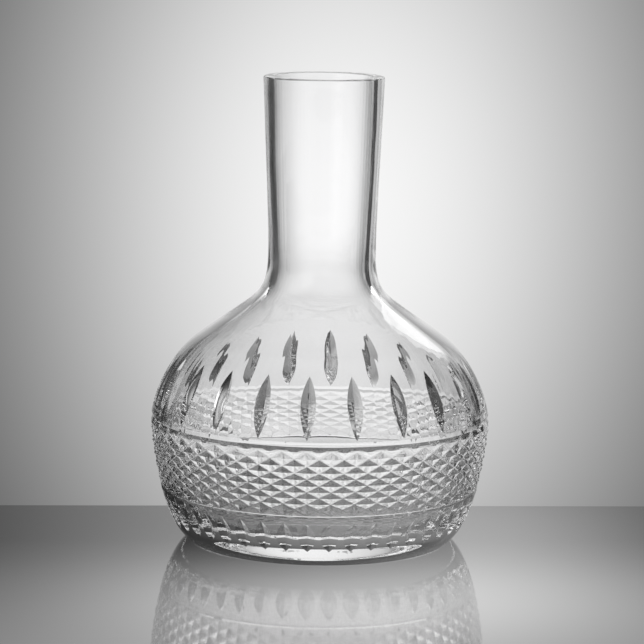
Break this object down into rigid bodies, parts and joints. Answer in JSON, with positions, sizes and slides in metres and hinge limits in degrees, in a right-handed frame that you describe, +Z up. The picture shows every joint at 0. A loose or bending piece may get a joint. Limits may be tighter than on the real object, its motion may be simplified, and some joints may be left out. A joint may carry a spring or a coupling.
{
  "type": "cut crystal decanter",
  "caption": "Open carafe-shaped decanter in clear cut crystal, with a plain neck, fluted shoulder and a band of pointed diamonds.",
  "frame": {"origin": "centre of the flat underside, where the decanter stands", "axes": "+Z up along the axis of the neck; one shoulder flute lies in the -Y direction"},
  "size_m": [0.1712, 0.1712, 0.235],
  "materials": {
    "crystal": "clear colourless crystal, bright polished all over, with polished mitre cuts"
  },
  "bodies": {
    "root": {"crystal_body": "crystal"}
  },
  "joints": []
}
